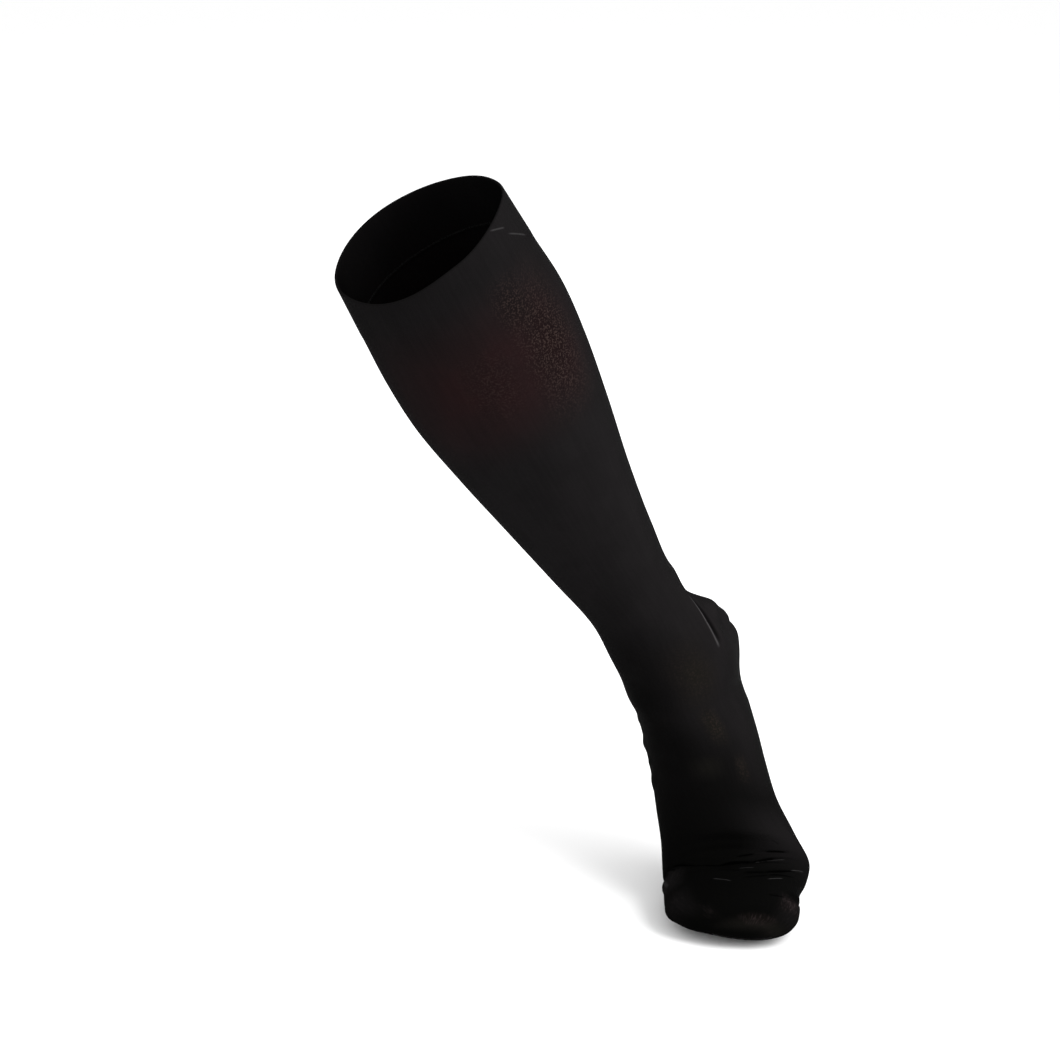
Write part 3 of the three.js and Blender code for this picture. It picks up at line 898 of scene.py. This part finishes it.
# %% [markdown]
# ## Uneven black
# Dyed knit is never one flat black. Yarn thickness wanders along the wales, the density drifts over
# some centimetres, and open stitches show as specks on the leg and as short upright ticks on the toes.
# The second group gives these four as masks.

# %% Unevenness group
def uneven_group():
    scales = {"Streaks": 150.0, "Patches": 38.0, "Specks": 960.0, "Ticks": 190.0}
    group, given, made = new_group("Uneven yarn", scales, ("Streak", "Patch", "Speck", "Tick"))
    solid = add_node(group, "ShaderNodeTexCoord")["Object"]

    def drawn_out(down):
        inputs = {"Vector": knit_map(group), "Scale": (1.0, down, 1.0)}
        return add_node(group, "ShaderNodeMapping", inputs)["Vector"]

    for name, vector, scale, low, high in (
        ("Streak", drawn_out(0.16), "Streaks", 0.35, 0.65),
        ("Patch", solid, "Patches", 0.38, 0.62),
        ("Speck", solid, "Specks", 0.48, 0.64),
        ("Tick", drawn_out(0.9), "Ticks", 0.48, 0.64),
    ):
        found = noise(group, vector, given[scale])
        group.links.new(smooth_step(group, found, low, high), made[name])
    return group


UNEVEN = uneven_group()
print("unevenness group inputs:", list(sockets_of(UNEVEN)))

# %% [markdown]
# ## Fine lines
# Some painted light and shade is finer than the mesh: painted shade in the pinched bottoms of the creases at
# the toes, painted highlights on the edges beside them and on the thin line over the inner ankle. The third
# group draws one such line between two places of the cloth's map. Its mask fades out to the sides and at both
# ends.

# %% Fine line group and table
LINE_CORE, LINE_END = 0.16, 0.22  # shares of its width and of its length
# a tone above 0 gives a painted highlight, and one below 0 gives painted shade
FINE_LINES = (  # from (section, turn), to (section, turn), width, tone (pale above 0, dark below)
    ((7.3, 0.292), (7.85, 0.319), 2.8, 0.42),
    ((7.68, 0.313), (8.55, 0.331), 2.8, 0.4),
    ((0.02, 0.38), (0.23, 0.344), 1.4, 0.25),
    ((0.31, 0.348), (0.66, 0.3), 1.4, 0.25),
    ((18.4, 0.464), (18.15, 0.417), 1.2, 0.24),
    ((18.17, 0.418), (17.88, 0.366), 1.2, 0.28),
    ((18.42, 0.333), (18.06, 0.295), 1.4, 0.26),
    ((19.26, 0.562), (19.46, 0.495), 1.3, 0.22),
    ((19.2, 0.382), (18.93, 0.33), 1.2, 0.24),
    ((18.76, 0.487), (18.68, 0.436), 1.0, 0.12),
    ((18.5, 0.742), (19.0, 0.718), 4.0, 0.16),
    ((17.74, 0.724), (18.34, 0.642), 2.4, -0.85),
    ((18.34, 0.648), (18.54, 0.548), 1.3, -0.8),
    ((18.55, 0.57), (18.31, 0.448), 2.2, -0.95),
    ((18.33, 0.46), (17.98, 0.396), 1.5, -0.8),
    ((18.2, 0.516), (17.96, 0.46), 2.2, -0.8),
    ((17.72, 0.438), (17.4, 0.378), 2.0, -0.8),
    ((18.93, 0.465), (18.72, 0.39), 1.9, -0.85),
    ((18.76, 0.404), (18.34, 0.312), 2.4, -0.95),
    ((19.26, 0.465), (18.95, 0.376), 1.6, -0.6),
    ((18.98, 0.386), (18.62, 0.3), 1.7, -0.75),
    ((18.84, 0.555), (18.91, 0.468), 1.7, -0.5),
    ((20.06, 0.376), (19.94, 0.312), 1.9, -0.6),
    ((16.68, 0.424), (16.98, 0.404), 1.7, -0.5),
    ((17.72, 0.748), (18.25, 0.7), 2.6, -0.75),
)


def line_group():
    inputs = {"From": (0.0, 0.0, 0.0), "To": (0.0, 0.0, 0.0), "Girth": 0.0, "Width": 0.0}
    group, given, made = new_group("Fine line", inputs, ("Mask",))

    def vector_node(operation, first, second=None, output="Vector"):
        inputs = {0: first}
        if second is not None:
            inputs["Scale" if operation == "SCALE" else 1] = second
        return add_node(group, "ShaderNodeVectorMath", inputs, operation=operation)[output]

    size = add_node(group, "ShaderNodeCombineXYZ", {"X": given["Girth"], "Y": 1.0})["Vector"]
    here = vector_node("MULTIPLY", knit_map(group), size)
    apart = vector_node("SUBTRACT", here, given["From"])
    line = vector_node("SUBTRACT", given["To"], given["From"])
    along = vector_node("DOT_PRODUCT", apart, line, "Value")
    share = math_node(group, "DIVIDE", along, vector_node("DOT_PRODUCT", line, line, "Value"), clamp=True)
    aside = vector_node("SUBTRACT", apart, vector_node("SCALE", line, share))
    distance = vector_node("LENGTH", aside, output="Value")
    half = math_node(group, "MULTIPLY", given["Width"], 0.5)
    core = math_node(group, "MULTIPLY", given["Width"], LINE_CORE / 2)
    start, end = smooth_step(group, share, 0.0, LINE_END), smooth_step(group, share, 1.0, 1 - LINE_END)
    ends = math_node(group, "MULTIPLY", start, end)
    near = smooth_step(group, distance, half, core)
    group.links.new(math_node(group, "MULTIPLY", near, ends), made["Mask"])
    return group


LINE = line_group()


def fine_lines(tree, first, last, pale):
    """The mask of the painted highlight lines when pale is true, else of the painted shade lines, that start
    between two ways.
    """
    mask = 0.0
    for start, end, width, tone in FINE_LINES:
        ways = way_at(start[0]), way_at(end[0])
        if not first <= ways[0] < last or (tone > 0) != pale:
            continue
        girth = float(np.interp(sum(ways) / 2, GIRTH_WAYS, GIRTHS)) * MM
        places = [(turn * girth, way * MM, 0) for (_, turn), way in zip((start, end), ways)]
        line = use_group(tree, LINE, From=places[0], To=places[1], Girth=girth, Width=width * MM)
        mask = math_node(tree, "MAXIMUM", math_node(tree, "MULTIPLY", line["Mask"], abs(tone)), mask)
    return mask


print("fine lines:", len(FINE_LINES))

# %% [markdown]
# ## Cloth materials
# Where the knit opens most, over the calf, it is a little warmer and lighter, and where it is dense, on
# the foot, it is the deepest black. Creases get painted shade and thin ridges a painted highlight. There is
# hardly any sheen; the cloth gets painted shade where it turns away and on its inner skin.

# %% Cloth materials
DEEP, LIGHT = (0.0012, 0.0012, 0.0011), (0.0073, 0.0066, 0.0069)
WARM, DULL = (0.0128, 0.0052, 0.0055), (0.0068, 0.0063, 0.005)
# the last colour is the painted highlight of the fine pale lines
SPECK, TICK, PAINTED_HIGHLIGHT = (0.025, 0.0166, 0.0147), (0.019, 0.0145, 0.0145), (0.062, 0.06, 0.061)
OPEN_DRIFT, WARM_DRIFT, DULL_DRIFT = 0.12, 0.25, 0.4  # how much of a patch drifts with the yarn
STREAKS, KNIT_GAPS, SPECK_GAPS = 0.08, 0.1, 0.4
# painted highlight on crease ridges and painted shade in crease troughs, set by the crease relief
RIDGE, TROUGH = (0.15, 0.9), (-0.15, -1.1)  # relief in mm where the effect starts and is full
RIDGE_PAINTED_HIGHLIGHT, TROUGH_PAINTED_SHADE = 0.6, 0.7
# painted shade on the inner skin and where the cloth turns away from the view
INSIDE_PAINTED_SHADE, TURNED_PAINTED_SHADE, TURNED_FROM = 0.3, 0.6, 0.4
YARN_HEIGHT = 0.00012


def cloth_material(name, wales, course, first, last):
    """The knit of one cloth, with the fine lines that start between two ways."""
    material, tree = new_material(name)
    knit = use_group(tree, KNIT, Wales=wales, Course=course)
    uneven = use_group(tree, UNEVEN)

    def times(first, second):
        return math_node(tree, "MULTIPLY", first, second)

    def plus(first, second):
        return math_node(tree, "ADD", first, second)

    def scaled(value, share, start):
        return math_node(tree, "MULTIPLY_ADD", value, share, start)

    def drifting(key, drift):
        """The share of a patch, a little weaker where the yarn is denser."""
        return times(attribute(tree, key), scaled(uneven["Patch"], drift, 1 - drift))

    # the openness of the knit, with the painted shade of the negative patches
    open_knit_and_painted_shade = math_node(tree, "ADD", drifting("openness", OPEN_DRIFT), attribute(tree, "lighter"), clamp=True)
    specks, crease = attribute(tree, "specks"), attribute(tree, "crease")
    base = DEEP
    for share, colour in (
        (open_knit_and_painted_shade, LIGHT),
        (drifting("warmer", WARM_DRIFT), WARM),
        (drifting("duller", DULL_DRIFT), DULL),
        (times(specks, uneven["Speck"]), SPECK),
        (times(attribute(tree, "ticks"), uneven["Tick"]), TICK),
        # painted highlight along the pale fine lines
        (fine_lines(tree, first, last, True), PAINTED_HIGHLIGHT),
    ):
        base = blend_colour(tree, share, base, colour)

    between_specks = times(specks, scaled(uneven["Speck"], -1.0, 1.0))
    facing = add_node(tree, "ShaderNodeLayerWeight", {"Blend": 0.5})["Facing"]
    shade = scaled(uneven["Streak"], STREAKS, 1 - STREAKS / 2)
    shade = times(shade, scaled(between_specks, -SPECK_GAPS, 1.0))
    # painted highlight on the crease ridges
    shade = plus(shade, scaled(smooth_step(tree, crease, *RIDGE), RIDGE_PAINTED_HIGHLIGHT, 0.0))
    shade = plus(shade, scaled(knit["Gap"], -KNIT_GAPS, 0.0))
    for share, darker in (
        # painted shade in the crease troughs
        (smooth_step(tree, crease, *TROUGH), TROUGH_PAINTED_SHADE),
        # painted shade along the dark fine lines
        (fine_lines(tree, first, last, False), 1.0),
        # painted shade on the inner skin
        (attribute(tree, "inside"), INSIDE_PAINTED_SHADE),
        # painted shade where the cloth turns away from the view
        (smooth_step(tree, facing, TURNED_FROM, 1.0), TURNED_PAINTED_SHADE),
    ):
        shade = times(shade, scaled(share, -darker, 1.0))

    tint = add_node(tree, "ShaderNodeVectorMath", {0: base, "Scale": shade}, operation="SCALE")
    yarn = {"Strength": 0.4, "Distance": YARN_HEIGHT, "Height": knit["Height"]}
    surface(tree, {
        "Base Color": tint["Vector"],
        "Normal": add_node(tree, "ShaderNodeBump", yarn)["Normal"],
        "Roughness": 0.75,
        "Specular IOR Level": 0.004,
        "Sheen Weight": 0.001,
        "Sheen Roughness": 0.3,
        "Sheen Tint": (0.97, 0.96, 1.0, 1),
    })
    return material


for obj, knit_name, wales, course, first, last in (
    (band, "band_knit", 300, 0.0008, 0, BAND_LONG),
    (leg, "leg_knit", 360, 0.0007, BAND_LONG, ANKLE_WAY),
    (foot, "foot_knit", 360, 0.0007, ANKLE_WAY, LAST_WAY),
):
    obj.data.materials.append(cloth_material(knit_name, wales, course, first, last))
    print(obj.name, "has the material", knit_name)

# %% [markdown]
# ## The two linked courses
# The thread is a matt twisted yarn. The hem's course runs all round the inside just above the hem's
# edge. The toe's course runs under the tips of the toes, where it can't rub.

# %% Thread, hem links and toe links
THREAD_DEEP, THREAD_LIGHT = (0.003, 0.003, 0.003), (0.009, 0.0085, 0.0085)
THREAD_TWIST = 1500.0
HEM_ABOVE, HEM_OUT = 1.4, BAND_PROUD - 2 * CLOTH - 0.1  # above the hem's edge, out from the form
TOE_BEFORE, TOE_OUT, TOE_REACH = 3, 0.05, 44  # before the end, out from the form, columns to each side
HEM_LINK = {"Spacing": 0.0019, "Link length": 0.0014, "Link width": 0.0009, "Thread": 0.0002, "Seed": 4}
TOE_LINK = {"Spacing": 0.0016, "Link length": 0.0013, "Link width": 0.0008, "Thread": 0.00018, "Seed": 9}


def thread_material():
    material, tree = new_material("linking_thread")
    twist = noise(tree, add_node(tree, "ShaderNodeTexCoord")["Object"], THREAD_TWIST)
    black = blend_colour(tree, twist, THREAD_DEEP, THREAD_LIGHT)
    surface(tree, {"Base Color": black, "Roughness": 0.8, "Specular IOR Level": 0.15})
    return material


THREAD = thread_material()
hem_columns, toe_columns = np.arange(COLUMNS), np.arange(-TOE_REACH, TOE_REACH + 1)
hem_links = linked_course("hem_links", BAND_LONG - HEM_ABOVE, HEM_OUT, hem_columns, -1, HEM_LINK)
toe_links = linked_course("toe_links", LAST_WAY - TOE_BEFORE, TOE_OUT, toe_columns, 1, TOE_LINK)

# %% [markdown]
# ## What each piece stands for
# Every cloth rides on the one body of the part and replaces its solids.


for obj, nodes, slot, first, last in (
    (band, ("top_band",), "band_knit", 0.0, BAND_LONG),
    (leg, ("leg",), "leg_knit", BAND_LONG, ANKLE_WAY),
    (foot, ("heel", "foot", "toe"), "foot_knit", ANKLE_WAY, LAST_WAY),
):
    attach(obj, "root")
    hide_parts(*nodes)
for obj in (hem_links, toe_links):
    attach(obj, "root")

# %% [markdown]
# ## Floor, light and view
# The stocking stands on its toes on a wide pale floor, as on the paper of a studio. A large soft light
# stands on the right, a weak one on the left and one behind. They leave the black cloth dark.

# %% Studio
FLOOR_SIZE, FLOOR_BACK, FLOOR_BELOW = 24, 6, 0.0002
PAPER = (0.9, 0.9, 0.9, 1)
WORLD_STRENGTH = 1.08
AIM = (0.1, 0.04, -0.2)
LIGHTS = (  # name, place, breadth and height, power
    ("key", (1.6, -0.5, 0.75), (1.1, 1.4), 44),
    ("fill", (-1.6, -1.2, 0.4), (1.2, 1.2), 1.5),
    ("back", (0.9, 1.7, 0.9), (1.4, 1.0), 16),
)

low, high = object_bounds()
bpy.ops.mesh.primitive_plane_add(size=FLOOR_SIZE, location=(0, FLOOR_BACK, low.z - FLOOR_BELOW))
floor = bpy.context.object
floor.name = "floor"
paper, paper_tree = new_material("paper")
surface(paper_tree, {"Base Color": PAPER, "Roughness": 0.95, "Specular IOR Level": 0.1})
floor.data.materials.append(paper)
floor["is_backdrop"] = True


def area_light(name, place, size, power):
    data = bpy.data.lights.new(name, "AREA")
    data.shape, data.size, data.size_y, data.energy = "RECTANGLE", size[0], size[1], power
    lamp = bpy.data.objects.new(name, data)
    bpy.context.scene.collection.objects.link(lamp)
    lamp.location = place
    lamp.rotation_euler = (Vector(AIM) - Vector(place)).to_track_quat("-Z", "Y").to_euler()
    lamp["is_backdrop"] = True


for light in LIGHTS:
    area_light(*light)
world = bpy.data.worlds.new("studio")
world.use_nodes = True
world.node_tree.nodes["Background"].inputs["Color"].default_value = (1, 1, 1, 1)
world.node_tree.nodes["Background"].inputs["Strength"].default_value = WORLD_STRENGTH
bpy.context.scene.world = world
bpy.context.scene.view_settings.view_transform = "Standard"
print("lights and floor ready")

# %% [markdown]
# ## The view of the photo
# The camera looks down a little on the front of the foot, from far away through a long lens, and frames
# the stocking as the photo does.

# %% Camera
LENS_MM, SENSOR_MM = 100, 36
CAMERA_PLACE = Vector((0.0634, -1.6690, 0.3648))
VIEW_TARGET = Vector((0.0634, 0.0429, -0.1914))
lens = bpy.data.cameras.new("camera")
lens.lens, lens.sensor_width = LENS_MM, SENSOR_MM
lens.dof.use_dof = False
camera = bpy.data.objects.new("camera", lens)
bpy.context.scene.collection.objects.link(camera)
camera.location = CAMERA_PLACE
camera.rotation_euler = (VIEW_TARGET - CAMERA_PLACE).to_track_quat("-Z", "Y").to_euler()
bpy.context.scene.camera = camera
print("camera is", round((VIEW_TARGET - CAMERA_PLACE).length, 2), "m from the stocking")

# %% [markdown]
# ## Sizes at the end
# The bounds of the cloth are printed beside those of the frame, so a slip in a table would show here.

# %% Print the sizes and finish
SIZE["cloth"] = [list(corner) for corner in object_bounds()]
for key, (lower, upper) in SIZE.items():
    print(key, [round(v, 4) for v in lower], [round(v, 4) for v in upper])
